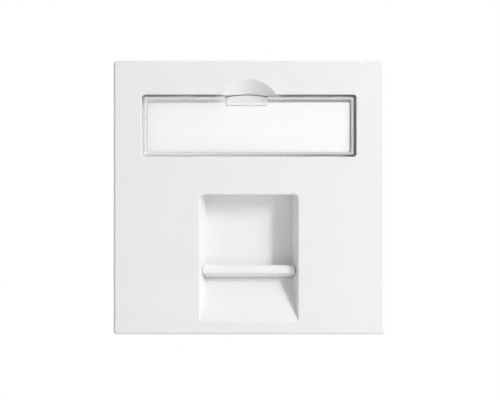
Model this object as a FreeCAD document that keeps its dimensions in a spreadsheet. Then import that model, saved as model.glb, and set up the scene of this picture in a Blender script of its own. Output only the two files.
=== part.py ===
"""Keystone faceplate: a 45 x 45 mm snap-in data module with a sprung shutter and a label window.

Frame: millimetres, +X to the right, +Z up, -Y towards the user. The origin is the centre of the
rear rim of the front plate, which is the face that seats on the mounting frame.
"""
import FreeCAD
import Part
import Sketcher

import math
import os
import re

# Driving dimensions in millimetres, or degrees where the name says draft or slope.
SIZES = {
    # front plate: an open-backed moulding with a skirt all round
    "plate_width": 44.7,
    "plate_height": 45.2,
    "plate_depth": 8.5,
    "face_wall": 2.0,
    "skirt_wall": 1.5,
    "skirt_draft": 0.5,
    "corner_radius": 0.6,
    "edge_radius": 0.45,
    # label window and the thumb dish above it
    "window_width": 35.2,
    "window_height": 10.2,
    "window_from_top": 5.7,
    "window_depth": 2.4,
    "window_radius": 0.5,
    "window_edge_radius": 0.2,
    "tub_wall": 1.4,
    "dish_radius": 5.2,
    "dish_drop": 2.65,
    "dish_slope": 38.0,
    "dish_depth": 2.2,
    "dish_overcut": 0.5,
    # plug recess: it narrows to the throat that the shutter closes, and its floor is a ramp
    "port_width": 16.1,
    "port_height": 20.85,
    "port_from_bottom": 2.2,
    "port_corner_radius": 0.65,
    "throat_inset": 0.825,
    "throat_height": 13.65,
    "throat_corner_radius": 0.1,
    "recess_depth": 3.9,
    "throat_land": 1.2,
    "port_edge_radius": 0.3,
    "ramp_wall": 1.3,
    "core_overcut": 0.3,
    # shutter and its guides
    "shutter_side_lap": 1.275,
    "shutter_thickness": 1.2,
    "shutter_overlap": 1.5,
    "shutter_stop": 1.2,
    "slide_gap": 0.05,
    "rail_wall": 1.15,
    "lip_height": 1.33,
    "lip_reach": 3.65,
    "lip_stem": 1.85,
    "lip_undercut": 0.675,
    "lip_crown": 0.9,
    "lip_radius": 0.15,
    "lip_gap": 0.16,
    # return springs, one on each side of the shutter
    "spring_inset": 2.5,
    "spring_radius": 1.2,
    "wire_radius": 0.125,
    "spring_turns": 6.0,
    "spring_gap": 0.3,
    "post_radius": 0.55,
    "shutter_post": 2.0,
    "shelf_post": 1.2,
    "shelf_wall": 1.0,
    "shelf_from_top": 5.1,
    # rear carrier, which traps the shutter and holds the jack
    "carrier_width": 28.0,
    "carrier_from_end": 4.3,
    "carrier_wall": 1.8,
    "carrier_radius": 1.5,
    "bay_width": 14.8,
    "bay_height": 16.5,
    "bay_above_throat": 1.4,
    "bay_depth": 9.7,
    "bay_wall": 1.6,
    "bay_lead_in": 0.4,
    "jack_hook_width": 10.0,
    "jack_hook_set_back": 1.5,
    "jack_hook_slot": 3.0,
    "jack_latch_width": 9.0,
    "jack_latch_set_back": 6.2,
    "jack_latch_slot": 2.0,
    "gusset_reach": 3.6,
    "gusset_height": 5.0,
    "gusset_wall": 1.2,
    "gusset_spacing": 10.0,
    # snap hooks and locating pins between plate and carrier
    "hook_gap": 0.1,
    "hook_wall": 1.2,
    "hook_width": 5.0,
    "hook_reach": 0.8,
    "hook_land": 0.3,
    "hook_nose": 1.2,
    "hook_spacing": 24.0,
    "pin_radius": 1.2,
    "pin_clearance": 0.05,
    "pin_boss_radius": 2.0,
    "pin_spacing": 23.2,
    "pin_from_bottom": 6.3,
    # snap clips that hold the module in its mounting frame
    "frame_wall": 2.0,
    "clip_play": 0.1,
    "clip_gap": 0.5,
    "clip_wall": 1.3,
    "clip_width": 10.0,
    "clip_reach": 1.2,
    "clip_land": 0.5,
    "clip_length": 3.0,
    # low ribs behind the face
    "rib_height": 1.2,
    "rib_wall": 1.0,
    "rib_spacing": 10.0,
    "rib_drop": 8.0,
    # label cover: a clear tray that clips into the window over the paper label
    "cover_gap": 0.28,
    "cover_set_back": 0.3,
    "cover_wall": 0.9,
    "cover_radius": 0.4,
    "cover_bevel": 0.15,
    "rim_wall": 0.5,
    "rim_floor_gap": 0.05,
    "tab_width": 6.9,
    "tab_offset": -0.45,
    "tab_height": 1.6,
    "tab_rise": 0.25,
    "tab_bevel": 0.22,
    "tab_arch": 0.32,
    "tab_overhang": 0.45,
    "bead_width": 3.0,
    "bead_height": 0.18,
    "bead_length": 0.6,
    "bead_spacing": 22.0,
    # paper label
    "label_thickness": 0.2,
    "label_gap": 0.05,
    "label_side_gap": 0.29,
    "label_top_gap": 0.45,
}

# Depths, as y formulas, from the face to the back.
FRONT = "-plate_depth"
ROOT = "(-plate_depth + face_wall / 2)"
INSIDE = "(-plate_depth + face_wall)"
WINDOW_FLOOR = "(-plate_depth + window_depth)"
RAMP_END = "(-plate_depth + recess_depth)"
GUIDE = "(-plate_depth + recess_depth + throat_land)"
SHUTTER_FRONT = f"({GUIDE} + slide_gap)"
SHUTTER_BACK = f"({SHUTTER_FRONT} + shutter_thickness)"
SPRING_AXIS = f"({SHUTTER_FRONT} + shutter_thickness / 2)"
CARRIER_FRONT = f"({SHUTTER_BACK} + slide_gap)"
CARRIER_BACK = f"({CARRIER_FRONT} + carrier_wall)"
BAY_BACK = f"({CARRIER_FRONT} + bay_depth)"
CLIP_CATCH = "(frame_wall + clip_play)"
COVER_FRONT = "(-plate_depth + cover_set_back)"
COVER_BACK = f"({COVER_FRONT} + cover_wall)"

# Heights, as z formulas: the window, shelf and carrier keep their distance from the plate's upper
# edge, and the port and all behind it from its lower edge.
WINDOW_TOP = "(plate_height / 2 - window_from_top)"
WINDOW_BOTTOM = f"({WINDOW_TOP} - window_height)"
PORT_BOTTOM = "(-plate_height / 2 + port_from_bottom)"
PORT_TOP = f"({PORT_BOTTOM} + port_height)"
THROAT_BOTTOM = f"({PORT_TOP} - throat_height)"
SHUTTER_TOP = f"({PORT_TOP} + shutter_overlap)"
SHUTTER_BOTTOM = f"({THROAT_BOTTOM} + slide_gap)"
STOP_BOTTOM = f"({THROAT_BOTTOM} - shutter_stop)"
BLOCK_BOTTOM = f"({PORT_BOTTOM} + shutter_overlap)"
SHELF = "(plate_height / 2 - shelf_from_top)"
CARRIER_TOP = "(plate_height / 2 - carrier_from_end)"
PIN_LEVEL = "(-plate_height / 2 + pin_from_bottom)"
BAY_TOP = f"({PORT_TOP} + bay_above_throat)"
BAY_BOTTOM = f"({BAY_TOP} - bay_height)"
COVER_TOP = f"({WINDOW_TOP} - cover_gap)"
COVER_BOTTOM = f"({WINDOW_BOTTOM} + cover_gap)"

# Half widths, as x formulas.
THROAT_HALF = "(port_width / 2 - throat_inset)"
SHUTTER_HALF = f"({THROAT_HALF} + shutter_side_lap)"
SPRING_PLACE = f"({SHUTTER_HALF} - spring_inset)"
GUIDE_HALF = f"({SHUTTER_HALF} + slide_gap)"
RAIL_HALF = f"({GUIDE_HALF} + rail_wall)"
COVER_HALF = "(window_width / 2 - cover_gap)"
HOOK_INNER = "(carrier_width / 2 + hook_gap)"

ALL_CORNERS = ("bottom_left", "bottom_right", "top_right", "top_left")

document = FreeCAD.newDocument("keystone_faceplate")
sizes = document.addObject("Spreadsheet::Sheet", "sizes")
for row, (alias, number) in enumerate(SIZES.items(), start=1):
    sizes.set(f"A{row}", alias)
    sizes.set(f"B{row}", str(number))
    sizes.setAlias(f"B{row}", alias)
document.recompute()
volumes = {}


def bound(formula):
    """The formula with each size's name pointed at its cell in the sheet."""
    return re.sub(r"[a-z_]+", lambda word: f"sizes.{word[0]}" if word[0] in SIZES else word[0], formula)


def amount(formula):
    """The formula's present value."""
    return float(document.sizes.evalExpression(bound(formula)))


def tie(item, name, formula):
    """Bind one property of a feature, or one constraint of a sketch, to the sheet."""
    item.setExpression(name, bound(formula))


def origin_part(body, role):
    return next(item for item in body.Origin.OriginFeatures if item.Role == role)


def add_body(name):
    body = document.addObject("PartDesign::Body", name)
    body.Label = name
    return body


def add_sketch(body, name, role, at="0"):
    """A sketch on the body's XZ, XY or YZ plane, moved to y, z or x = at."""
    sketch = body.newObject("Sketcher::SketchObject", name)
    sketch.AttachmentSupport = [(origin_part(body, role), "")]
    sketch.MapMode = "FlatFace"
    sign = "-" if role == "XZ_Plane" else ""
    tie(sketch, "AttachmentOffset.Base.z", f"{sign}({at})")
    return sketch


def hold(sketch, kind, geometry, point, formula):
    """Fix one coordinate of a sketch point at its distance from the sketch's origin."""
    number = sketch.addConstraint(Sketcher.Constraint(kind, -1, 1, geometry, point, amount(formula)))
    tie(sketch, f"Constraints[{number}]", formula)


def add_polygon(sketch, corners):
    """A closed outline of straight lines through corners given as pairs of formulas."""
    points = [FreeCAD.Vector(amount(across), amount(up), 0) for across, up in corners]
    count = len(points)
    first = sketch.GeometryCount
    for index in range(count):
        sketch.addGeometry(Part.LineSegment(points[index], points[(index + 1) % count]), False)
    for index, (across, up) in enumerate(corners):
        following = first + (index + 1) % count
        sketch.addConstraint(Sketcher.Constraint("Coincident", first + index, 2, following, 1))
        hold(sketch, "DistanceX", first + index, 1, across)
        hold(sketch, "DistanceY", first + index, 1, up)


def add_rectangle(sketch, left, right, bottom, top, radius=None, rounded=ALL_CORNERS):
    """A rectangle between four formulas, with the named corners rounded where a radius is given."""
    x_low, x_high, y_low, y_high = (amount(side) for side in (left, right, bottom, top))
    corners = [
        (FreeCAD.Vector(x_low, y_low, 0), FreeCAD.Vector(1, 1, 0)),
        (FreeCAD.Vector(x_high, y_low, 0), FreeCAD.Vector(-1, 1, 0)),
        (FreeCAD.Vector(x_high, y_high, 0), FreeCAD.Vector(-1, -1, 0)),
        (FreeCAD.Vector(x_low, y_high, 0), FreeCAD.Vector(1, -1, 0)),
    ]
    bends = [amount(radius) if radius and name in rounded else 0.0 for name in ALL_CORNERS]
    first = sketch.GeometryCount
    for side in range(4):
        start = corners[side][0]
        end = corners[(side + 1) % 4][0]
        along = (end - start).normalize()
        line = Part.LineSegment(start + along * bends[side], end - along * bends[(side + 1) % 4])
        sketch.addGeometry(line, False)
    arcs = []
    for side, (corner, inward) in enumerate(corners):
        before = first + (side - 1) % 4
        after = first + side
        if not bends[side]:
            sketch.addConstraint(Sketcher.Constraint("Coincident", before, 2, after, 1))
            continue
        circle = Part.Circle(corner + inward * bends[side], FreeCAD.Vector(0, 0, 1), bends[side])
        start_angle = math.pi * (1 + side / 2)
        arc = sketch.addGeometry(Part.ArcOfCircle(circle, start_angle, start_angle + math.pi / 2), False)
        sketch.addConstraint(Sketcher.Constraint("Tangent", before, 2, arc, 1))
        sketch.addConstraint(Sketcher.Constraint("Tangent", arc, 2, after, 1))
        arcs.append(arc)
    for side, kind in enumerate(("Horizontal", "Vertical", "Horizontal", "Vertical")):
        sketch.addConstraint(Sketcher.Constraint(kind, first + side))
    hold(sketch, "DistanceY", first, 1, bottom)
    hold(sketch, "DistanceX", first + 1, 1, right)
    hold(sketch, "DistanceY", first + 2, 1, top)
    hold(sketch, "DistanceX", first + 3, 1, left)
    for arc in arcs:
        number = sketch.addConstraint(Sketcher.Constraint("Radius", arc, amount(radius)))
        tie(sketch, f"Constraints[{number}]", radius)


def add_circle(sketch, across, up, radius):
    centre = FreeCAD.Vector(amount(across), amount(up), 0)
    circle = sketch.addGeometry(Part.Circle(centre, FreeCAD.Vector(0, 0, 1), amount(radius)), False)
    hold(sketch, "DistanceX", circle, 3, across)
    hold(sketch, "DistanceY", circle, 3, up)
    number = sketch.addConstraint(Sketcher.Constraint("Radius", circle, amount(radius)))
    tie(sketch, f"Constraints[{number}]", radius)


def sketch_feature(kind, body, name, profile):
    """A sketch-based feature, left for finish to measure."""
    feature = body.newObject(f"PartDesign::{kind}", name)
    feature.Profile = profile
    return feature


def finish(body, feature, adds):
    """Recompute, and stop where the feature failed or did not change the volume as it should."""
    document.recompute()
    volume = body.Shape.Volume
    change = volume - volumes.get(body.Name, 0.0)
    if "Invalid" in feature.State or (change <= 0 if adds else change >= 0):
        raise RuntimeError(f"{body.Label}.{feature.Name} changed the volume by {change:.4f}")
    volumes[body.Name] = volume
    return feature


def extrude(body, name, profile, length, adds=True, back=False, both=False, taper=None):
    """A Pad or Pocket. On an XZ sketch, back sends it towards +Y. both centres it on the sketch."""
    kind = "Pad" if adds else "Pocket"
    feature = sketch_feature(kind, body, name, profile)
    tie(feature, "Length", length)
    if both:
        feature.Midplane = True
    else:
        feature.Reversed = back if adds else not back
    if taper:
        tie(feature, "TaperAngle", taper)
    return finish(body, feature, adds)


def mirror(body, name, original, role="YZ_Plane"):
    feature = body.newObject("PartDesign::Mirrored", name)
    feature.Originals = [original]
    feature.MirrorPlane = (origin_part(body, role), [""])
    body.Tip = feature
    return finish(body, feature, original.TypeId == "PartDesign::Pad")


def dress(kind, body, name, size_property, size, chosen):
    """A Fillet or Chamfer on the edges that the test chooses."""
    base = body.Tip
    names = [f"Edge{i}" for i, edge in enumerate(base.Shape.Edges, start=1) if chosen(edge)]
    if not names:
        raise RuntimeError(f"{body.Label}.{name} found no edges")
    feature = body.newObject(f"PartDesign::{kind}", name)
    feature.Base = (base, names)
    tie(feature, size_property, size)
    return finish(body, feature, False)


def fillet(body, name, radius, chosen):
    return dress("Fillet", body, name, "Radius", radius, chosen)


def chamfer(body, name, size, chosen):
    return dress("Chamfer", body, name, "Size", size, chosen)


def lies_at(edge, axis, place):
    """Whether the whole edge lies in the plane axis = place."""
    box = edge.BoundBox
    low, high = getattr(box, f"{axis}Min"), getattr(box, f"{axis}Max")
    return abs(low - place) < 0.002 and abs(high - place) < 0.002


def lies_within(edge, half_width, bottom, top):
    """Whether the edge lies in a rectangle of the front view, centred across."""
    box = edge.BoundBox
    slack = 0.01
    across = max(abs(box.XMin), abs(box.XMax)) < half_width + slack
    return across and box.ZMin > bottom - slack and box.ZMax < top + slack


def build_front_plate():
    """One moulding: face, skirt, label tub, plug recess, shutter guides, snap clips and hooks."""
    body = add_body("front_plate")
    outline = add_sketch(body, "plate_outline", "XZ_Plane")
    add_rectangle(outline, "-plate_width / 2", "plate_width / 2", "-plate_height / 2", "plate_height / 2")
    extrude(body, "plate_block", outline, "plate_depth", taper="-skirt_draft")
    front = amount(FRONT)
    depth = amount("plate_depth")
    fillet(body, "plate_corners", "corner_radius", lambda edge: edge.BoundBox.YLength > depth / 2)
    fillet(body, "face_edge", "edge_radius", lambda edge: lies_at(edge, "Y", front))

    cavity = add_sketch(body, "skirt_inside", "XZ_Plane")
    half_width = "plate_width / 2 - skirt_wall"
    half_height = "plate_height / 2 - skirt_wall"
    add_rectangle(cavity, f"-({half_width})", half_width, f"-({half_height})", half_height)
    extrude(body, "skirt_cavity", cavity, "plate_depth - face_wall", adds=False)

    add_label_tub(body)
    add_shutter_guides(body)
    add_carrier_fixings(body)
    add_frame_clips(body)
    add_ribs(body)
    cut_window(body, front)
    cut_port(body, front)
    return body


def add_label_tub(body):
    """The walls and floor behind the face that the label pocket is sunk into."""
    tub = add_sketch(body, "tub_outline", "XZ_Plane", ROOT)
    half = "(window_width / 2 + tub_wall)"
    add_rectangle(tub, f"-{half}", half, f"{WINDOW_BOTTOM} - tub_wall", f"{WINDOW_TOP} + tub_wall")
    extrude(body, "label_tub", tub, f"{WINDOW_FLOOR} + tub_wall - {ROOT}", back=True)


def add_shutter_guides(body):
    """The block round the recess, the rails beside the shutter, its stop and the springs' shelf."""
    block = add_sketch(body, "recess_outline", "XZ_Plane", ROOT)
    add_rectangle(block, f"-{RAIL_HALF}", RAIL_HALF, BLOCK_BOTTOM, SHUTTER_TOP)
    extrude(body, "recess_block", block, f"{GUIDE} - {ROOT}", back=True)

    ledge = add_sketch(body, "ledge_outline", "XZ_Plane", ROOT)
    add_rectangle(ledge, THROAT_HALF, RAIL_HALF, PORT_TOP, f"{SHELF} + shelf_wall")
    right = extrude(body, "ledge_right", ledge, f"{GUIDE} - {ROOT}", back=True)
    mirror(body, "ledge_left", right)

    rail = add_sketch(body, "rail_outline", "XZ_Plane", ROOT)
    add_rectangle(rail, GUIDE_HALF, RAIL_HALF, STOP_BOTTOM, f"{SHELF} + shelf_wall")
    right = extrude(body, "rail_right", rail, f"{CARRIER_FRONT} - {ROOT}", back=True)
    mirror(body, "rail_left", right)

    stop = add_sketch(body, "stop_outline", "XZ_Plane", RAMP_END)
    add_rectangle(stop, f"-{RAIL_HALF}", RAIL_HALF, STOP_BOTTOM, THROAT_BOTTOM)
    extrude(body, "shutter_stop", stop, f"{CARRIER_FRONT} - {RAMP_END}", back=True)

    shelf = add_sketch(body, "shelf_outline", "XZ_Plane", ROOT)
    add_rectangle(shelf, f"-{RAIL_HALF}", RAIL_HALF, SHELF, f"{SHELF} + shelf_wall")
    extrude(body, "spring_shelf", shelf, f"{CARRIER_FRONT} - {ROOT}", back=True)

    post = add_sketch(body, "shelf_post_outline", "XY_Plane", f"{SHELF} - shelf_post")
    add_circle(post, SPRING_PLACE, SPRING_AXIS, "post_radius")
    right = extrude(body, "shelf_post_right", post, "shelf_post + shelf_wall / 2")
    mirror(body, "shelf_post_left", right)


def add_carrier_fixings(body):
    """Four hooks that snap over the carrier's edges, and two bosses whose pins locate it."""
    catch = f"({CARRIER_BACK} + slide_gap)"
    hook_outer = f"({HOOK_INNER} + hook_wall)"
    hook_peak = f"({HOOK_INNER} - hook_reach)"
    for name, side in (("upper", ""), ("lower", "-")):
        profile = add_sketch(body, f"{name}_hook_outline", "XY_Plane", f"{side}hook_spacing / 2")
        add_polygon(profile, [
            (HOOK_INNER, ROOT),
            (hook_outer, ROOT),
            (hook_outer, f"{catch} + hook_nose"),
            (HOOK_INNER, f"{catch} + hook_nose"),
            (hook_peak, f"{catch} + hook_land"),
            (hook_peak, catch),
            (HOOK_INNER, catch),
        ])
        right = extrude(body, f"{name}_hook_right", profile, "hook_width", both=True)
        mirror(body, f"{name}_hook_left", right)

    boss = add_sketch(body, "boss_outline", "XZ_Plane", ROOT)
    add_circle(boss, "pin_spacing / 2", PIN_LEVEL, "pin_boss_radius")
    right = extrude(body, "boss_right", boss, f"{CARRIER_FRONT} - {ROOT}", back=True)
    mirror(body, "boss_left", right)
    pin = add_sketch(body, "pin_outline", "XZ_Plane", ROOT)
    add_circle(pin, "pin_spacing / 2", PIN_LEVEL, "pin_radius")
    right = extrude(body, "pin_right", pin, f"{CARRIER_BACK} - {ROOT}", back=True)
    mirror(body, "pin_left", right)


def add_frame_clips(body):
    """A springy clip at the top and bottom, whose nose catches behind the mounting frame."""
    outer = "(plate_height / 2 - skirt_wall - clip_gap)"
    inner = f"({outer} - clip_wall)"
    clip = add_sketch(body, "clip_outline", "YZ_Plane")
    add_polygon(clip, [
        (ROOT, inner),
        (f"{CLIP_CATCH} + clip_length", inner),
        (f"{CLIP_CATCH} + clip_length", outer),
        (f"{CLIP_CATCH} + clip_land", f"{outer} + clip_reach"),
        (CLIP_CATCH, f"{outer} + clip_reach"),
        (CLIP_CATCH, outer),
        (ROOT, outer),
    ])
    top = extrude(body, "clip_top", clip, "clip_width", both=True)
    mirror(body, "clip_bottom", top, "XY_Plane")


def add_ribs(body):
    """Low ribs that join the rails to the skirt behind the face."""
    for name, level in (("upper", "rib_spacing - rib_drop"), ("lower", "-rib_drop")):
        rib = add_sketch(body, f"{name}_rib_outline", "XZ_Plane", ROOT)
        reach = "plate_width / 2 - skirt_wall / 2"
        add_rectangle(rib, GUIDE_HALF, reach, f"{level} - rib_wall / 2", f"{level} + rib_wall / 2")
        right = extrude(body, f"{name}_rib_right", rib, f"{INSIDE} + rib_height - {ROOT}", back=True)
        mirror(body, f"{name}_rib_left", right)


def cut_window(body, front):
    """The label pocket with its softened edge, and the thumb dish cut into its upper edge."""
    window = add_sketch(body, "window_outline", "XZ_Plane", FRONT)
    half = "window_width / 2"
    add_rectangle(window, f"-{half}", half, WINDOW_BOTTOM, WINDOW_TOP, "window_radius")
    extrude(body, "label_pocket", window, "window_depth", adds=False, back=True)
    limits = (amount(half), amount(WINDOW_BOTTOM), amount(WINDOW_TOP))
    fillet(body, "window_edge", "window_edge_radius",
           lambda edge: lies_at(edge, "Y", front) and lies_within(edge, *limits))

    dish = body.newObject("PartDesign::SubtractiveCone", "thumb_dish")
    dish.AttachmentSupport = [(origin_part(body, "XZ_Plane"), "")]
    dish.MapMode = "FlatFace"
    tie(dish, "Radius1", "dish_radius - dish_depth / tan(dish_slope * 1deg)")
    tie(dish, "Radius2", "dish_radius + dish_overcut / tan(dish_slope * 1deg)")
    tie(dish, "Height", "dish_depth + dish_overcut")
    tie(dish, "AttachmentOffset.Base.y", f"{WINDOW_TOP} - dish_drop")
    tie(dish, "AttachmentOffset.Base.z", "plate_depth - dish_depth")
    finish(body, dish, False)


def cut_port(body, front):
    """The recess that narrows to the throat, its ramp, and the core behind the ramp."""
    mouth = add_sketch(body, "port_mouth", "XZ_Plane", FRONT)
    top_corners = ("top_right", "top_left")
    add_rectangle(mouth, "-port_width / 2", "port_width / 2", PORT_BOTTOM, PORT_TOP,
                  "port_corner_radius", top_corners)
    throat = add_sketch(body, "port_throat", "XZ_Plane", RAMP_END)
    add_rectangle(throat, f"-{THROAT_HALF}", THROAT_HALF, THROAT_BOTTOM, PORT_TOP,
                  "throat_corner_radius", top_corners)
    recess = sketch_feature("SubtractiveLoft", body, "plug_recess", mouth)
    recess.Sections = [(throat, [""])]
    recess.Ruled = True
    finish(body, recess, False)
    extrude(body, "throat", throat, "plate_depth", adds=False, back=True)

    # the core's slanting side runs behind the ramp, ramp_wall away from it
    core = add_sketch(body, "ramp_core_outline", "YZ_Plane")
    rise = f"({THROAT_BOTTOM} - {PORT_BOTTOM})"
    wall = f"(ramp_wall * sqrt(recess_depth ^ 2 + {rise} ^ 2) / {rise})"
    low = f"({BLOCK_BOTTOM} - core_overcut)"
    low_depth, high_depth = (f"({FRONT} + {wall} + recess_depth * ({level} - {PORT_BOTTOM}) / {rise})"
                             for level in (low, STOP_BOTTOM))
    add_polygon(core, [(low_depth, low), (GUIDE, low), (GUIDE, STOP_BOTTOM), (high_depth, STOP_BOTTOM)])
    extrude(body, "ramp_core", core, f"2 * {THROAT_HALF}", adds=False, both=True)

    limits = (amount("port_width / 2"), amount(PORT_BOTTOM), amount(PORT_TOP))
    fillet(body, "port_edge", "port_edge_radius",
           lambda edge: lies_at(edge, "Y", front) and lies_within(edge, *limits)
           and edge.BoundBox.ZMax > limits[1] + 1)


def build_shutter():
    """A flat slide that closes the throat, with a finger lip, and posts for the springs."""
    body = add_body("shutter")
    plate = add_sketch(body, "slide_outline", "XZ_Plane", SHUTTER_FRONT)
    add_rectangle(plate, f"-{SHUTTER_HALF}", SHUTTER_HALF, SHUTTER_BOTTOM, SHUTTER_TOP)
    extrude(body, "slide", plate, "shutter_thickness", back=True)

    # the stem is as wide as the throat, and in front of it the lip widens with the recess
    lip_top = f"({SHUTTER_BOTTOM} + lip_undercut + lip_height)"
    lip_front = f"({SHUTTER_FRONT} - lip_reach)"
    root_half = f"({THROAT_HALF} - lip_gap)"
    front_half = f"({root_half} + throat_inset * ({RAMP_END} - {lip_front}) / recess_depth)"
    root = add_sketch(body, "lip_root", "XZ_Plane", f"{SHUTTER_FRONT} - lip_stem")
    add_rectangle(root, f"-{root_half}", root_half, SHUTTER_BOTTOM, lip_top)
    extrude(body, "finger_lip_stem", root, "lip_stem", back=True)
    face = add_sketch(body, "lip_face", "XZ_Plane", lip_front)
    add_rectangle(face, f"-{front_half}", front_half, f"{SHUTTER_BOTTOM} + lip_undercut", lip_top)
    lip = sketch_feature("AdditiveLoft", body, "finger_lip", root)
    lip.Sections = [(face, [""])]
    lip.Ruled = True
    finish(body, lip, True)
    front = amount(lip_front)
    top = amount(lip_top)
    under = amount(f"{SHUTTER_BOTTOM} + lip_undercut")
    fillet(body, "lip_edge", "lip_radius",
           lambda edge: lies_at(edge, "Y", front) and lies_at(edge, "Z", under))
    fillet(body, "lip_crown", "lip_crown",
           lambda edge: lies_at(edge, "Y", front) and lies_at(edge, "Z", top))

    post = add_sketch(body, "post_outline", "XY_Plane", f"{SHUTTER_TOP} - shutter_overlap / 2")
    add_circle(post, SPRING_PLACE, SPRING_AXIS, "post_radius")
    right = extrude(body, "post_right", post, "shutter_post + shutter_overlap / 2")
    mirror(body, "post_left", right)
    return body


def build_spring(name, side):
    """A compression spring between the shutter's post and the shelf's post."""
    body = add_body(name)
    section = add_sketch(body, "wire_section", "XZ_Plane")
    across = "(spring_radius - wire_radius)"
    corners = [
        (f"{across} + wire_radius * cos({turn}deg)", f"wire_radius * (1 + sin({turn}deg))")
        for turn in range(30, 390, 60)
    ]
    add_polygon(section, corners)
    coil = body.newObject("PartDesign::AdditiveHelix", "coil")
    coil.Profile = section
    coil.ReferenceAxis = (origin_part(body, "Z_Axis"), [""])
    coil.Mode = "height-turns-angle"
    tie(coil, "Height", f"{SHELF} - {SHUTTER_TOP} - 2 * wire_radius")
    tie(coil, "Turns", "spring_turns")
    finish(body, coil, True)
    tie(body, "Placement.Base.x", f"{side}{SPRING_PLACE}")
    tie(body, "Placement.Base.y", SPRING_AXIS)
    tie(body, "Placement.Base.z", SHUTTER_TOP)
    return body


def build_rear_carrier():
    """The frame behind the shutter: a plate with the bay that a keystone jack clips into."""
    body = add_body("rear_carrier")
    outline = add_sketch(body, "carrier_outline", "XZ_Plane", CARRIER_FRONT)
    add_rectangle(outline, "-carrier_width / 2", "carrier_width / 2", f"-{CARRIER_TOP}", CARRIER_TOP,
                  "carrier_radius")
    extrude(body, "carrier_plate", outline, "carrier_wall", back=True)

    walls = add_sketch(body, "bay_outline", "XZ_Plane", CARRIER_FRONT)
    outer_half = "(bay_width / 2 + bay_wall)"
    add_rectangle(walls, f"-{outer_half}", outer_half, f"{BAY_BOTTOM} - bay_wall", f"{BAY_TOP} + bay_wall")
    extrude(body, "bay_walls", walls, "bay_depth", back=True)

    for name, side in (("upper", "gusset_spacing / 2"), ("lower", "-gusset_spacing / 2")):
        level = f"{BAY_TOP} - bay_height / 2 + {side}"
        gusset = add_sketch(body, f"{name}_gusset_outline", "XY_Plane", level)
        add_polygon(gusset, [
            (f"{outer_half} - bay_wall / 2", CARRIER_FRONT),
            (f"{outer_half} + gusset_reach", CARRIER_BACK),
            (f"{outer_half}", f"{CARRIER_BACK} + gusset_height"),
            (f"{outer_half} - bay_wall / 2", f"{CARRIER_BACK} + gusset_height"),
        ])
        right = extrude(body, f"{name}_gusset_right", gusset, "gusset_wall", both=True)
        mirror(body, f"{name}_gusset_left", right)

    bay = add_sketch(body, "bay_opening", "XZ_Plane", CARRIER_FRONT)
    add_rectangle(bay, "-bay_width / 2", "bay_width / 2", BAY_BOTTOM, BAY_TOP)
    extrude(body, "keystone_bay", bay, "bay_depth", adds=False, back=True)
    back = amount(BAY_BACK)
    limits = (amount("bay_width / 2"), amount(BAY_BOTTOM), amount(BAY_TOP))
    chamfer(body, "bay_mouth", "bay_lead_in",
            lambda edge: lies_at(edge, "Y", back) and lies_within(edge, *limits))

    # the jack's fixed hook goes through the bay's floor, and its latch clicks into the roof
    hook = add_sketch(body, "jack_hook_outline", "XY_Plane", f"{BAY_BOTTOM} - bay_wall / 2")
    start = f"({CARRIER_FRONT} + jack_hook_set_back)"
    end = f"{start} + jack_hook_slot"
    add_rectangle(hook, "-jack_hook_width / 2", "jack_hook_width / 2", start, end)
    extrude(body, "jack_hook_window", hook, "2 * bay_wall", adds=False, both=True)
    latch = add_sketch(body, "jack_latch_outline", "XY_Plane", f"{BAY_TOP} + bay_wall / 2")
    start = f"({CARRIER_FRONT} + jack_latch_set_back)"
    end = f"{start} + jack_latch_slot"
    add_rectangle(latch, "-jack_latch_width / 2", "jack_latch_width / 2", start, end)
    extrude(body, "jack_latch_window", latch, "2 * bay_wall", adds=False, both=True)

    trough = add_sketch(body, "trough_outline", "XZ_Plane", CARRIER_FRONT)
    trough_half = "(spring_radius + spring_gap)"
    add_rectangle(trough, f"{SPRING_PLACE} - {trough_half}", f"{SPRING_PLACE} + {trough_half}",
                  f"{BAY_TOP} - bay_lead_in", SHELF)
    depth = f"{SPRING_AXIS} + {trough_half} - {CARRIER_FRONT}"
    right = extrude(body, "trough_right", trough, depth, adds=False, back=True)
    mirror(body, "trough_left", right)

    hole = add_sketch(body, "pin_hole_outline", "XZ_Plane", CARRIER_FRONT)
    add_circle(hole, "pin_spacing / 2", PIN_LEVEL, "pin_radius + pin_clearance")
    right = extrude(body, "pin_hole_right", hole, "carrier_wall", adds=False, back=True)
    mirror(body, "pin_hole_left", right)
    return body


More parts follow.
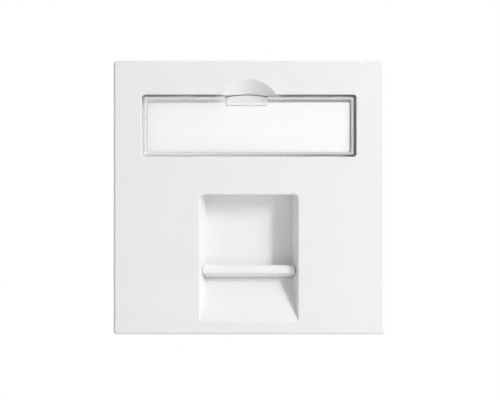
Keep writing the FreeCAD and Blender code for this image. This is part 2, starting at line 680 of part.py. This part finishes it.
def build_label_cover():
    """A clear shallow tray, open to the back, with a raised thumb tab on its upper edge."""
    body = add_body("label_cover")
    outline = add_sketch(body, "cover_outline", "XZ_Plane", COVER_FRONT)
    add_rectangle(outline, f"-{COVER_HALF}", COVER_HALF, COVER_BOTTOM, COVER_TOP, "cover_radius")
    extrude(body, "cover_block", outline, f"{WINDOW_FLOOR} - rim_floor_gap - {COVER_FRONT}", back=True)
    tray = add_sketch(body, "tray_outline", "XZ_Plane", COVER_BACK)
    inner = f"({COVER_HALF} - rim_wall)"
    add_rectangle(tray, f"-{inner}", inner, f"{COVER_BOTTOM} + rim_wall", f"{COVER_TOP} - rim_wall")
    extrude(body, "tray", tray, "window_depth", adds=False, back=True)
    front = amount(COVER_FRONT)
    chamfer(body, "cover_edge", "cover_bevel", lambda edge: lies_at(edge, "Y", front))

    tab_front = f"{COVER_FRONT} - tab_rise"
    tab = add_sketch(body, "tab_outline", "XZ_Plane", f"{COVER_FRONT} + cover_wall / 2")
    add_rectangle(tab, "tab_offset - tab_width / 2", "tab_offset + tab_width / 2",
                  f"{COVER_TOP} - tab_height", COVER_TOP)
    extrude(body, "tab_block", tab, "tab_rise + cover_wall / 2")
    add_tab_arch(body, tab_front)
    face = amount(tab_front)
    chamfer(body, "tab_edge", "tab_bevel",
            lambda edge: lies_at(edge, "Y", face) and edge.BoundBox.ZMin < amount(COVER_TOP) - 0.01)

    back = f"({WINDOW_FLOOR} - rim_floor_gap)"
    for name, edge, outward in (("upper", COVER_TOP, "+"), ("lower", COVER_BOTTOM, "-")):
        inward = "-" if outward == "+" else "+"
        bead = add_sketch(body, f"{name}_bead_outline", "YZ_Plane", "bead_spacing / 2")
        add_polygon(bead, [
            (back, edge),
            (f"{back} - bead_length / 2", f"{edge} {outward} bead_height"),
            (f"{back} - bead_length", edge),
            (f"{back} - bead_length", f"{edge} {inward} rim_wall / 2"),
            (back, f"{edge} {inward} rim_wall / 2"),
        ])
        right = extrude(body, f"{name}_bead_right", bead, "bead_width", both=True)
        mirror(body, f"{name}_bead_left", right)
    return body


def add_tab_arch(body, tab_front):
    """The tab's upper edge bows up over the dish, so that a fingernail can reach under it."""
    start = "tab_offset - tab_width / 2"
    end = "tab_offset + tab_width / 2"
    top = amount(COVER_TOP)
    peak = amount(f"{COVER_TOP} + tab_arch")
    arch = add_sketch(body, "arch_outline", "XZ_Plane", tab_front)
    left = FreeCAD.Vector(amount(start), top, 0)
    right = FreeCAD.Vector(amount(end), top, 0)
    bow = arch.addGeometry(Part.Arc(right, FreeCAD.Vector(amount("tab_offset"), peak, 0), left), False)
    under = f"{COVER_TOP} - tab_height / 2"
    low = amount(under)
    low_left = FreeCAD.Vector(left.x, low, 0)
    low_right = FreeCAD.Vector(right.x, low, 0)
    down = arch.addGeometry(Part.LineSegment(left, low_left), False)
    base = arch.addGeometry(Part.LineSegment(low_left, low_right), False)
    up = arch.addGeometry(Part.LineSegment(low_right, right), False)
    for first, second in ((bow, down), (down, base), (base, up), (up, bow)):
        arch.addConstraint(Sketcher.Constraint("Coincident", first, 2, second, 1))
    hold(arch, "DistanceX", base, 1, start)
    hold(arch, "DistanceY", base, 1, under)
    hold(arch, "DistanceX", up, 1, end)
    hold(arch, "DistanceY", up, 1, under)
    hold(arch, "DistanceX", bow, 1, end)
    hold(arch, "DistanceY", bow, 1, COVER_TOP)
    hold(arch, "DistanceX", bow, 2, start)
    hold(arch, "DistanceY", bow, 2, COVER_TOP)
    radius = "((tab_width ^ 2 / 4 + tab_arch ^ 2) / 2 / tab_arch)"
    number = arch.addConstraint(Sketcher.Constraint("Radius", bow, amount(radius)))
    tie(arch, f"Constraints[{number}]", radius)
    extrude(body, "tab_arch", arch, "tab_overhang", back=True)


def build_label_insert():
    """The paper label, which lies in the lower left corner of the cover's tray."""
    body = add_body("label_insert")
    left = f"(-{COVER_HALF} + rim_wall + label_gap)"
    bottom = f"({COVER_BOTTOM} + rim_wall + label_gap)"
    paper = add_sketch(body, "label_outline", "XZ_Plane", f"{WINDOW_FLOOR} - label_thickness")
    right = f"{COVER_HALF} - rim_wall - label_side_gap"
    top = f"{COVER_TOP} - rim_wall - label_top_gap"
    add_rectangle(paper, left, right, bottom, top)
    extrude(body, "label", paper, "label_thickness", back=True)
    return body


def check_and_export(bodies):
    """Stop at any failed feature or bad solid, then write one STEP file for each piece."""
    document.recompute()
    for item in document.Objects:
        if "Invalid" in item.State or "Error" in item.State:
            raise RuntimeError(f"{item.Name} failed: {item.State}")
    os.makedirs("parts", exist_ok=True)
    for body in bodies:
        shape = body.Shape
        if shape.isNull() or not shape.isValid() or len(shape.Solids) != 1:
            raise RuntimeError(f"{body.Label} is not one valid solid")
        print(f"{body.Label}: {shape.Volume:.2f} mm3, {len(shape.Faces)} faces")
    for body in bodies:
        body.Shape.exportStep(f"parts/{body.Label}.step")


check_and_export([
    build_front_plate(),
    build_shutter(),
    build_spring("shutter_spring_left", "-"),
    build_spring("shutter_spring_right", ""),
    build_rear_carrier(),
    build_label_cover(),
    build_label_insert(),
])
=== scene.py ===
"""Looks of the keystone faceplate: a snap-in data module of white moulded plastic.

The frame is the part's own: metres, +X to the right, +Z up, -Y towards the user. Lengths below
are written in millimetres and turned to metres by MM.
"""

import math

import bpy
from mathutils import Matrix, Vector


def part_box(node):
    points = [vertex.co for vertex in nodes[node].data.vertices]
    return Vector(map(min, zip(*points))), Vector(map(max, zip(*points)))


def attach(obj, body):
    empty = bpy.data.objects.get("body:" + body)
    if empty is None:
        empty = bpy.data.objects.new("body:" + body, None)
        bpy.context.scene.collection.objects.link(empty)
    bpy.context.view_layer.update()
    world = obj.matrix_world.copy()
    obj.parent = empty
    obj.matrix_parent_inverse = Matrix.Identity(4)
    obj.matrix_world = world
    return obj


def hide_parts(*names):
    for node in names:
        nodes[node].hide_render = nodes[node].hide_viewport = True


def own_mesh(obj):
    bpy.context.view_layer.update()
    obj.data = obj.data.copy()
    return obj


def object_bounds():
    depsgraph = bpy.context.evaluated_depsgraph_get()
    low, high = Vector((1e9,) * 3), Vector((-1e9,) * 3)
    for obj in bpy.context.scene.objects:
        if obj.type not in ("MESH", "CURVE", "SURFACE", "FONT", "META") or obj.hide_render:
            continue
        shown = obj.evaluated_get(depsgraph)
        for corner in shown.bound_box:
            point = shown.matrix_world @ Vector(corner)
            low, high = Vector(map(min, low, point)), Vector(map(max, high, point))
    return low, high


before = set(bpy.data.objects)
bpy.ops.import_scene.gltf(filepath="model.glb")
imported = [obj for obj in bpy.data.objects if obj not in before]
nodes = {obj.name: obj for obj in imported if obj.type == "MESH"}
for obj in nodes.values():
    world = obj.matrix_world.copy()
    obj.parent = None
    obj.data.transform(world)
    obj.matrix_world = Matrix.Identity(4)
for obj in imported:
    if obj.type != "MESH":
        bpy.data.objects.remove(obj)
cad_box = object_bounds()

MM = 0.001

# the clear cover: its rim's wall, how far back the rim's face may lie, and the beads below its
# lower edge
RIM_WALL = 0.5 * MM
RIM_FACE_DEPTH = 0.2 * MM
BEAD_HEIGHT = 0.18 * MM
# its thumb tab: how far it stands before the cover's face, its middle and half its width, the
# height of the arch of its upper edge, and the width of the painted shadow line along that edge
TAB_RISE = 0.25 * MM
TAB_CENTRE = -0.45 * MM
TAB_HALF = 3.45 * MM
TAB_ARCH = 0.32 * MM
ARCH_SHADOW_LINE = 0.18 * MM
# half the width of the plate's dish where it meets the cover
DISH_HALF = 5.0 * MM
# the share of the light that the tab's satin face scatters, which makes it look milky, and the
# share of painted light on the rim's face: a diffuse haze standing in for the light the rim carries
RIM_PAINTED_LIGHT = 0.58
TAB_MILK = 0.42
# a point's face is flat when its normal has this much of Y, and the point is on the tab when it
# stands more than a hair before the cover's face
FLAT_NORMAL = 0.95
HAIR = 0.01 * MM

# the paper label: its thickness, the radius of its corners, and the lift of its right end
PAPER = 0.1 * MM
LABEL_CORNER = 0.3 * MM
LABEL_LIFT = 1.0 * MM

# the springs: their wire, its sides, the steps of a turn, and the turns between the closed ones
WIRE = 0.25 * MM
WIRE_SIDES = 12
COIL_STEPS = 28
OPEN_TURNS = 7
WELD = 0.02 * MM
SMOOTH_ANGLE = math.radians(50)


# ---------------------------------------------------------------- materials


def srgb(code):
    """An sRGB hex colour as linear RGBA."""
    parts = [int(code[i:i + 2], 16) / 255 for i in (1, 3, 5)]
    linear = [c / 12.92 if c <= 0.04045 else ((c + 0.055) / 1.055) ** 2.4 for c in parts]
    return (*linear, 1.0)


def add_node(tree, kind, settings=None, inputs=None, links=None):
    """Add a node, give it its settings and inputs, and link other nodes' outputs to its inputs."""
    node = tree.nodes.new(kind)
    for name, value in (settings or {}).items():
        setattr(node, name, value)
    for name, value in (inputs or {}).items():
        node.inputs[name].default_value = value
    for name, (source, output) in (links or {}).items():
        tree.links.new(source.outputs[output], node.inputs[name])
    return node


def new_material(name):
    """An empty material and its node tree."""
    material = bpy.data.materials.new(name)
    material.use_nodes = True
    material.node_tree.nodes.clear()
    return material, material.node_tree


def moulded_plastic(name, pale, dull, roughness, grain):
    """Moulded plastic, one colour all through, with the fine spark-eroded grain of its mould."""
    material, tree = new_material(name)
    place = add_node(tree, "ShaderNodeTexCoord")
    # flow of the melt: very faint, broad changes of tone, about 9 mm across
    flow = add_node(tree, "ShaderNodeTexNoise", {"noise_dimensions": "3D"},
                    {"Scale": 1 / (9 * MM), "Detail": 3.0, "Roughness": 0.5},
                    {"Vector": (place, "Object")})
    tone = add_node(tree, "ShaderNodeMix", {"data_type": "RGBA"},
                    {"A": srgb(pale), "B": srgb(dull)}, {"Factor": (flow, "Fac")})
    # the grain is about 0.05 mm in the mould; it is drawn at 0.3 mm so that it shows
    texture = add_node(tree, "ShaderNodeTexNoise", {"noise_dimensions": "3D"},
                       {"Scale": 1 / (0.3 * MM), "Detail": 4.0, "Roughness": 0.65},
                       {"Vector": (place, "Object")})
    # gloss varies a little with how well the plastic took the mould's grain
    gloss = add_node(tree, "ShaderNodeMapRange", None,
                     {"From Min": 0.3, "From Max": 0.7,
                      "To Min": roughness - 0.04, "To Max": roughness + 0.05},
                     {"Value": (texture, "Fac")})
    relief = add_node(tree, "ShaderNodeBump", None, {"Strength": grain, "Distance": 0.012 * MM},
                      {"Height": (texture, "Fac")})
    surface = add_node(tree, "ShaderNodeBsdfPrincipled", None, {"IOR": 1.55},
                       {"Base Color": (tone, "Result"), "Roughness": (gloss, "Result"),
                        "Normal": (relief, "Normal")})
    add_node(tree, "ShaderNodeOutputMaterial", links={"Surface": (surface, "BSDF")})
    return material


def clear_polycarbonate():
    """Clear moulded polycarbonate, water-clear and glossy, with painted light on its rim and
    painted shade on its tab.
    """
    material, tree = new_material("clear_polycarbonate")
    place = add_node(tree, "ShaderNodeTexCoord")
    low, high = (Vector(corner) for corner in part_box("label_cover"))
    face = low.y + TAB_RISE
    bottom, top = low.z + BEAD_HEIGHT, high.z - TAB_ARCH
    middle = Vector(((low.x + high.x) / 2, 0, (bottom + top) / 2))
    inside = Vector((high.x - middle.x - RIM_WALL, 1, top - middle.z - RIM_WALL))
    here = add_node(tree, "ShaderNodeSeparateXYZ", links={0: (place, "Object")})
    facing = add_node(tree, "ShaderNodeSeparateXYZ", links={0: (place, "Normal")})
    # how far a point lies outside the rim's inner walls, and whether its face is a flat one
    offset = add_node(tree, "ShaderNodeVectorMath", {"operation": "SUBTRACT"}, {1: middle},
                      {0: (place, "Object")})
    aside = add_node(tree, "ShaderNodeVectorMath", {"operation": "ABSOLUTE"},
                     links={0: (offset, "Vector")})
    past = add_node(tree, "ShaderNodeVectorMath", {"operation": "SUBTRACT"}, {1: inside},
                    {0: (aside, "Vector")})
    beyond = add_node(tree, "ShaderNodeSeparateXYZ", links={0: (past, "Vector")})
    furthest = add_node(tree, "ShaderNodeMath", {"operation": "MAXIMUM"},
                        links={0: (beyond, "X"), 1: (beyond, "Z")})
    along = add_node(tree, "ShaderNodeMath", {"operation": "ABSOLUTE"}, links={0: (facing, "Y")})
    flat = add_node(tree, "ShaderNodeMath", {"operation": "GREATER_THAN"}, {1: FLAT_NORMAL},
                    {0: (along, "Value")})

    # the bevels of the thumb tab bend the view aside; their grey is painted shade in the base
    # colour
    raised = add_node(tree, "ShaderNodeMath", {"operation": "LESS_THAN"}, {1: face - HAIR},
                      {0: (here, "Y")})
    bevel = add_node(tree, "ShaderNodeMath", {"operation": "SUBTRACT"},
                     links={0: (raised, "Value"), 1: (flat, "Value")})
    bevel_painted_grey = add_node(tree, "ShaderNodeMix", {"data_type": "RGBA"},
                        {"A": srgb("#FFFFFF"), "B": srgb("#A8A8A8")},
                        {"Factor": (bevel, "Value")})
    # painted shadow: a dark line along the edge of its arch, where the gap to the dish lies in
    # shade
    radius = (TAB_HALF ** 2 + TAB_ARCH ** 2) / 2 / TAB_ARCH
    in_plane = add_node(tree, "ShaderNodeVectorMath", {"operation": "MULTIPLY"}, {1: (1, 0, 1)},
                        {0: (place, "Object")})
    spoke = add_node(tree, "ShaderNodeVectorMath", {"operation": "DISTANCE"},
                     {1: (TAB_CENTRE, 0, high.z - radius)}, {0: (in_plane, "Vector")})
    outermost = add_node(tree, "ShaderNodeMath", {"operation": "GREATER_THAN"},
                         {1: radius - ARCH_SHADOW_LINE}, {0: (spoke, "Value")})
    arch_painted_shadow = add_node(tree, "ShaderNodeMath", {"operation": "MULTIPLY"},
                    links={0: (raised, "Value"), 1: (outermost, "Value")})
    painted_shade_tint = add_node(tree, "ShaderNodeMix", {"data_type": "RGBA"}, {"B": srgb("#303030")},
                    {"A": (bevel_painted_grey, "Result"), "Factor": (arch_painted_shadow, "Value")})
    # faint waves of the moulded faces, about 14 mm long
    wave = add_node(tree, "ShaderNodeTexNoise", {"noise_dimensions": "3D"},
                    {"Scale": 1 / (14 * MM), "Detail": 1.0}, {"Vector": (place, "Object")})
    relief = add_node(tree, "ShaderNodeBump", None, {"Strength": 0.1, "Distance": 0.02 * MM},
                      {"Height": (wave, "Fac")})
    surface = add_node(tree, "ShaderNodeBsdfPrincipled", None,
                       {"Roughness": 0.03, "IOR": 1.585, "Transmission Weight": 1.0},
                       {"Base Color": (painted_shade_tint, "Result"), "Normal": (relief, "Normal")})

    # painted light: a diffuse haze on the rim's face stands in for the light the rim brings to it;
    # the tab's satin face looks milky because it scatters light
    rim = add_node(tree, "ShaderNodeMath", {"operation": "GREATER_THAN"}, {1: 0.0},
                   {0: (furthest, "Value")})
    front = add_node(tree, "ShaderNodeMath", {"operation": "LESS_THAN"},
                     {1: face + RIM_FACE_DEPTH}, {0: (here, "Y")})
    unraised = add_node(tree, "ShaderNodeMath", {"operation": "SUBTRACT"},
                        links={0: (front, "Value"), 1: (raised, "Value")})
    level = add_node(tree, "ShaderNodeMath", {"operation": "MULTIPLY"},
                     links={0: (unraised, "Value"), 1: (flat, "Value")})
    rim_face = add_node(tree, "ShaderNodeMath", {"operation": "MULTIPLY"},
                        links={0: (rim, "Value"), 1: (level, "Value")})
    rim_painted_light = add_node(tree, "ShaderNodeMath", {"operation": "MULTIPLY"}, {1: RIM_PAINTED_LIGHT},
                        {0: (rim_face, "Value")})
    tab_face = add_node(tree, "ShaderNodeMath", {"operation": "SUBTRACT"},
                        links={0: (raised, "Value"), 1: (arch_painted_shadow, "Value")})
    milk_and_painted_rim_light = add_node(tree, "ShaderNodeMath", {"operation": "MULTIPLY_ADD"}, {1: TAB_MILK},
                     {0: (tab_face, "Value"), 2: (rim_painted_light, "Value")})
    haze_and_painted_rim_light = add_node(tree, "ShaderNodeBsdfDiffuse", None, {"Color": srgb("#F6F6F6")})
    finish = add_node(tree, "ShaderNodeMixShader",
                      links={0: (milk_and_painted_rim_light, "Value"), 1: (surface, "BSDF"), 2: (haze_and_painted_rim_light, "BSDF")})

    # light goes straight through the pane and out of the cover, but its outer edges take in little
    # of what comes to them, so that the gap round it stays dark, except where the dish opens it
    inner = add_node(tree, "ShaderNodeMath", {"operation": "LESS_THAN"}, {1: RIM_WALL / 2},
                     {0: (furthest, "Value")})
    upper = add_node(tree, "ShaderNodeMath", {"operation": "GREATER_THAN"}, {1: middle.z},
                     {0: (here, "Z")})
    beside = add_node(tree, "ShaderNodeMath", {"operation": "LESS_THAN"},
                      {1: DISH_HALF - inside.x}, {0: (beyond, "X")})
    dish = add_node(tree, "ShaderNodeMath", {"operation": "MULTIPLY"},
                    links={0: (upper, "Value"), 1: (beside, "Value")})
    side = add_node(tree, "ShaderNodeNewGeometry")
    pane = add_node(tree, "ShaderNodeMath", {"operation": "MAXIMUM"},
                    links={0: (flat, "Value"), 1: (inner, "Value")})
    leaving = add_node(tree, "ShaderNodeMath", {"operation": "MAXIMUM"},
                       links={0: (dish, "Value"), 1: (side, "Backfacing")})
    clear = add_node(tree, "ShaderNodeMath", {"operation": "MAXIMUM"},
                     links={0: (pane, "Value"), 1: (leaving, "Value")})
    path = add_node(tree, "ShaderNodeLightPath")
    edge = add_node(tree, "ShaderNodeMix", {"data_type": "RGBA"},
                    {"A": srgb("#606060"), "B": srgb("#F0F0F0")},
                    {"Factor": (path, "Is Shadow Ray")})
    let_through = add_node(tree, "ShaderNodeMix", {"data_type": "RGBA"}, {"B": srgb("#FFFFFF")},
                           {"A": (edge, "Result"), "Factor": (clear, "Value")})
    passing = add_node(tree, "ShaderNodeBsdfTransparent",
                       links={"Color": (let_through, "Result")})
    lighting = add_node(tree, "ShaderNodeMath", {"operation": "MAXIMUM"},
                        links={0: (path, "Is Shadow Ray"), 1: (path, "Is Diffuse Ray")})
    both = add_node(tree, "ShaderNodeMixShader",
                    links={0: (lighting, "Value"), 1: (finish, "Shader"), 2: (passing, "BSDF")})
    add_node(tree, "ShaderNodeOutputMaterial", links={"Surface": (both, "Shader")})
    return material


def uncoated_paper():
    """Uncoated 80 g/m2 white paper: brighter than the plastic, matt, with a faint fibre mottle."""
    material, tree = new_material("uncoated_white_paper")
    place = add_node(tree, "ShaderNodeTexCoord")
    # fibres lie mostly along the sheet, about 1 mm long and 0.35 mm apart
    along = add_node(tree, "ShaderNodeMapping", None, {"Scale": (0.3, 1.0, 1.0)},
                     {"Vector": (place, "Object")})
    fibres = add_node(tree, "ShaderNodeTexNoise", {"noise_dimensions": "3D"},
                      {"Scale": 1 / (0.35 * MM), "Detail": 5.0, "Roughness": 0.7},
                      {"Vector": (along, "Vector")})
    tone = add_node(tree, "ShaderNodeMix", {"data_type": "RGBA"},
                    {"A": srgb("#FFFFFF"), "B": srgb("#FCFCFC")}, {"Factor": (fibres, "Fac")})
    relief = add_node(tree, "ShaderNodeBump", None, {"Strength": 0.3, "Distance": 0.01 * MM},
                      {"Height": (fibres, "Fac")})
    surface = add_node(tree, "ShaderNodeBsdfPrincipled", None, {"Roughness": 0.85, "IOR": 1.45},
                       {"Base Color": (tone, "Result"), "Normal": (relief, "Normal")})
    add_node(tree, "ShaderNodeOutputMaterial", links={"Surface": (surface, "BSDF")})
    return material


def drawn_spring_wire():
    """Hard-drawn stainless spring wire: bright, with draw lines that soften its highlight."""
    material, tree = new_material("drawn_stainless_wire")
    place = add_node(tree, "ShaderNodeTexCoord")
    # draw lines, about 0.15 mm apart
    lines = add_node(tree, "ShaderNodeTexNoise", {"noise_dimensions": "3D"},
                     {"Scale": 1 / (0.15 * MM), "Detail": 3.0}, {"Vector": (place, "Object")})
    tone = add_node(tree, "ShaderNodeMix", {"data_type": "RGBA"},
                    {"A": srgb("#C9C8C4"), "B": srgb("#AFAFAD")}, {"Factor": (lines, "Fac")})
    gloss = add_node(tree, "ShaderNodeMapRange", None, {"To Min": 0.22, "To Max": 0.42},
                     {"Value": (lines, "Fac")})
    surface = add_node(tree, "ShaderNodeBsdfPrincipled", None, {"Metallic": 1.0},
                       {"Base Color": (tone, "Result"), "Roughness": (gloss, "Result")})
    add_node(tree, "ShaderNodeOutputMaterial", links={"Surface": (surface, "BSDF")})
    return material


def dress(name, material):
    """Give a node of the part its finish."""
    slots = nodes[name].data.materials
    slots.clear()
    slots.append(material)


# ---------------------------------------------------------------- paper label


def select_nothing(kind):
    """Make edit mode select by kind, with nothing selected yet, and come back to object mode."""
    bpy.ops.object.mode_set(mode="EDIT")
    bpy.ops.mesh.select_mode(type=kind)
    bpy.ops.mesh.select_all(action="DESELECT")
    bpy.ops.object.mode_set(mode="OBJECT")


def cut_label():
    """A card with softly rounded corners, whose curl lifts its right end off the pocket's floor."""
    low, high = (Vector(corner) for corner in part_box("label_insert"))
    centre = Vector(((low.x + high.x) / 2, high.y - PAPER / 2, (low.z + high.z) / 2))
    bpy.ops.object.select_all(action="DESELECT")
    bpy.ops.mesh.primitive_cube_add(size=1, location=centre,
                                    scale=(high.x - low.x, PAPER, high.z - low.z))
    label = bpy.context.object
    label.name = "paper_label_card"
    bpy.ops.object.transform_apply(location=True, rotation=True, scale=True)
    # round the four edges that run through the paper
    select_nothing("EDGE")
    for edge in label.data.edges:
        start, end = (label.data.vertices[index].co for index in edge.vertices)
        edge.select = abs(start.y - end.y) > PAPER / 2
    bpy.ops.object.mode_set(mode="EDIT")
    bpy.ops.mesh.bevel(offset=LABEL_CORNER, segments=4, affect="EDGES")
    # lift the right end
    select_nothing("VERT")
    for vertex in label.data.vertices:
        vertex.select = vertex.co.x > 0
    bpy.ops.object.mode_set(mode="EDIT")
    bpy.ops.transform.translate(value=(0, -LABEL_LIFT, 0))
    bpy.ops.object.mode_set(mode="OBJECT")
    label.data.materials.append(uncoated_paper())
    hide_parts("label_insert")
    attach(label, "faceplate")


# ---------------------------------------------------------------- springs


def add_turns(name, centre, coil_radius, foot, turns, rise):
    """Whole turns of round wire, wound upwards by a Screw modifier from a circle at one side."""
    bpy.ops.object.select_all(action="DESELECT")
    bpy.ops.mesh.primitive_circle_add(vertices=WIRE_SIDES, radius=WIRE / 2,
                                      rotation=(math.radians(90), 0, 0),
                                      location=(coil_radius, 0, 0))
    piece = bpy.context.object
    piece.name = name
    bpy.ops.object.transform_apply(location=True, rotation=True, scale=True)
    screw = piece.modifiers.new("winding", "SCREW")
    screw.axis = "Z"
    screw.iterations = turns
    screw.screw_offset = rise
    screw.steps = screw.render_steps = COIL_STEPS
    bpy.ops.object.modifier_apply(modifier="winding")
    piece.location = (centre.x, centre.y, foot)
    bpy.ops.object.transform_apply(location=True, rotation=True, scale=True)
    return piece


def wind_spring(node, wire):
    """A compression spring with one closed turn at each end, in the place of the CAD node."""
    low, high = (Vector(corner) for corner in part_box(node))
    centre = (low + high) / 2
    coil_radius = (high.x - low.x) / 2 - WIRE / 2
    foot, head = low.z + WIRE / 2, high.z - WIRE / 2
    # each closed turn rises by one wire, and the open ones share the rest
    open_rise = (head - foot - 2 * WIRE) / OPEN_TURNS
    lower = add_turns("lower_turn", centre, coil_radius, foot, 1, WIRE)
    middle = add_turns("open_turns", centre, coil_radius, foot + WIRE, OPEN_TURNS, open_rise)
    upper = add_turns("upper_turn", centre, coil_radius, head - WIRE, 1, WIRE)
    for piece in (lower, middle, upper):
        piece.select_set(True)
    bpy.context.view_layer.objects.active = middle
    bpy.ops.object.join()
    spring = bpy.context.object
    spring.name = node + "_coil"
    bpy.ops.object.mode_set(mode="EDIT")
    bpy.ops.mesh.select_all(action="SELECT")
    bpy.ops.mesh.remove_doubles(threshold=WELD)
    bpy.ops.mesh.fill_holes(sides=0)
    bpy.ops.mesh.normals_make_consistent(inside=False)
    bpy.ops.object.mode_set(mode="OBJECT")
    bpy.ops.object.shade_smooth_by_angle(angle=SMOOTH_ANGLE)
    spring.data.materials.append(wire)
    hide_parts(node)
    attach(spring, "faceplate")
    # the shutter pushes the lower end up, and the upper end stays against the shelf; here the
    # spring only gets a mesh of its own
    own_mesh(spring)


# ---------------------------------------------------------------- light, floor and camera


def seen_directly(tree):
    """1 for what the camera sees straight, in a reflection or through the clear cover, else 0."""
    path = add_node(tree, "ShaderNodeLightPath")
    shown = add_node(tree, "ShaderNodeMath", {"operation": "MAXIMUM"},
                     links={0: (path, "Is Camera Ray"), 1: (path, "Is Glossy Ray")})
    return add_node(tree, "ShaderNodeMath", {"operation": "MAXIMUM"},
                    links={0: (shown, "Value"), 1: (path, "Is Transmission Ray")})


def add_world(strength):
    """Weak, even light all round, which the camera sees as a plain white studio."""
    world = bpy.data.worlds.new("white_studio")
    world.use_nodes = True
    tree = world.node_tree
    tree.nodes.clear()
    room = add_node(tree, "ShaderNodeBackground", None,
                    {"Color": srgb("#FFFFFF"), "Strength": strength})
    white = add_node(tree, "ShaderNodeBackground", None,
                     {"Color": srgb("#FFFFFF"), "Strength": 1.0})
    both = add_node(tree, "ShaderNodeMixShader",
                    links={0: (seen_directly(tree), "Value"), 1: (room, "Background"),
                           2: (white, "Background")})
    add_node(tree, "ShaderNodeOutputWorld", links={"Surface": (both, "Shader")})
    bpy.context.scene.world = world


def add_floor(level, radius):
    """A round, pale studio floor, which keeps the part's shadow and fades into the white."""
    bpy.ops.object.select_all(action="DESELECT")
    bpy.ops.mesh.primitive_circle_add(vertices=96, radius=radius, fill_type="NGON",
                                      location=(0, 0, level))
    floor = bpy.context.object
    floor.name = "studio_floor"
    bpy.ops.object.transform_apply(location=True, rotation=True, scale=True)
    material, tree = new_material("matt_white_floor_paper")
    place = add_node(tree, "ShaderNodeTexCoord")
    reach = add_node(tree, "ShaderNodeVectorMath", {"operation": "LENGTH"},
                     links={0: (place, "Object")})
    fade = add_node(tree, "ShaderNodeMapRange", {"interpolation_type": "SMOOTHSTEP"},
                    {"From Min": 0.35 * radius, "From Max": 0.95 * radius},
                    {"Value": (reach, "Value")})
    shown = add_node(tree, "ShaderNodeMath", {"operation": "MULTIPLY"},
                     links={0: (fade, "Result"), 1: (seen_directly(tree), "Value")})
    paper = add_node(tree, "ShaderNodeBsdfDiffuse", None, {"Color": srgb("#F4F4F4")})
    white = add_node(tree, "ShaderNodeEmission", None,
                     {"Color": srgb("#FFFFFF"), "Strength": 1.0})
    both = add_node(tree, "ShaderNodeMixShader",
                    links={0: (shown, "Value"), 1: (paper, "BSDF"), 2: (white, "Emission")})
    add_node(tree, "ShaderNodeOutputMaterial", links={"Surface": (both, "Shader")})
    floor.data.materials.append(material)


def add_lamp(name, azimuth, elevation, distance, width, height, power, drop):
    """A soft box, aimed at the part, or below it by drop.

    Azimuth and elevation are in degrees: azimuth 0 is in front of the face, and 90 to its right.
    Lengths are in metres, and the power is in watts.
    """
    data = bpy.data.lights.new(name, "AREA")
    data.shape = "RECTANGLE"
    data.size = width
    data.size_y = height
    data.energy = power
    lamp = bpy.data.objects.new(name, data)
    bpy.context.scene.collection.objects.link(lamp)
    across, up = math.radians(azimuth), math.radians(elevation)
    towards = Vector((math.sin(across) * math.cos(up), -math.cos(across) * math.cos(up),
                      math.sin(up)))
    lamp.location = towards * distance
    aim = lamp.location + Vector((0, 0, drop))
    lamp.rotation_euler = aim.to_track_quat("Z", "Y").to_euler()
    lamp.visible_camera = False


def add_camera(view_width, lens, centre):
    """Straight at the face, so far off that the walls of the recess hardly converge."""
    data = bpy.data.cameras.new("camera")
    data.lens = lens
    data.sensor_width = 36.0
    distance = view_width * lens / data.sensor_width
    camera = bpy.data.objects.new("camera", data)
    bpy.context.scene.collection.objects.link(camera)
    camera.location = Vector(centre) + Vector((0, -distance, 0))
    camera.rotation_euler = (math.radians(90), 0, 0)
    bpy.context.scene.camera = camera


# ---------------------------------------------------------------- the whole scene

shell_plastic = moulded_plastic("moulded_pc_abs_white", "#F0F0F0", "#ECECEC", 0.34, 0.30)
shutter_plastic = moulded_plastic("moulded_pom_white", "#F2F2F2", "#EEEEEE", 0.30, 0.22)
spring_wire = drawn_spring_wire()
dress("front_plate", shell_plastic)
dress("rear_carrier", shell_plastic)
dress("shutter", shutter_plastic)
dress("label_cover", clear_polycarbonate())
cut_label()
for spring_node in ("shutter_spring_left", "shutter_spring_right"):
    wind_spring(spring_node, spring_wire)

add_world(strength=0.06)
add_floor(level=-0.12, radius=0.75)
# name, azimuth, elevation, distance, width, height, power, drop
LAMPS = (
    ("key_softbox", 41, 20, 0.45, 0.045, 0.17, 0.84, 0.30),
    ("key_diffuser", 48, 25, 0.45, 0.11, 0.16, 0.52, 0.30),
    ("high_panel", 45, 55, 0.60, 0.30, 0.30, 0.45, 0.0),
    ("top_panel", 30, 80, 0.60, 0.25, 0.25, 0.57, 0.0),
    ("low_panel", 32, -14, 0.35, 0.12, 0.06, 0.08, 0.0),
    ("left_reflector", -50, 5, 0.60, 0.30, 0.30, 0.43, 0.25),
    ("upper_left_reflector", -50, 35, 0.60, 0.25, 0.25, 0.10, 0.0),
    ("back_panel_left", -145, 25, 0.80, 0.80, 0.80, 1.9, 0.0),
    ("back_panel_right", 150, 25, 0.80, 0.80, 0.80, 2.1, 0.0),
)
for lamp_row in LAMPS:
    add_lamp(*lamp_row)
add_camera(view_width=82.18 * MM, lens=200.0, centre=(0.15 * MM, cad_box[0].y, -0.41 * MM))
bpy.context.scene.view_settings.view_transform = "Standard"
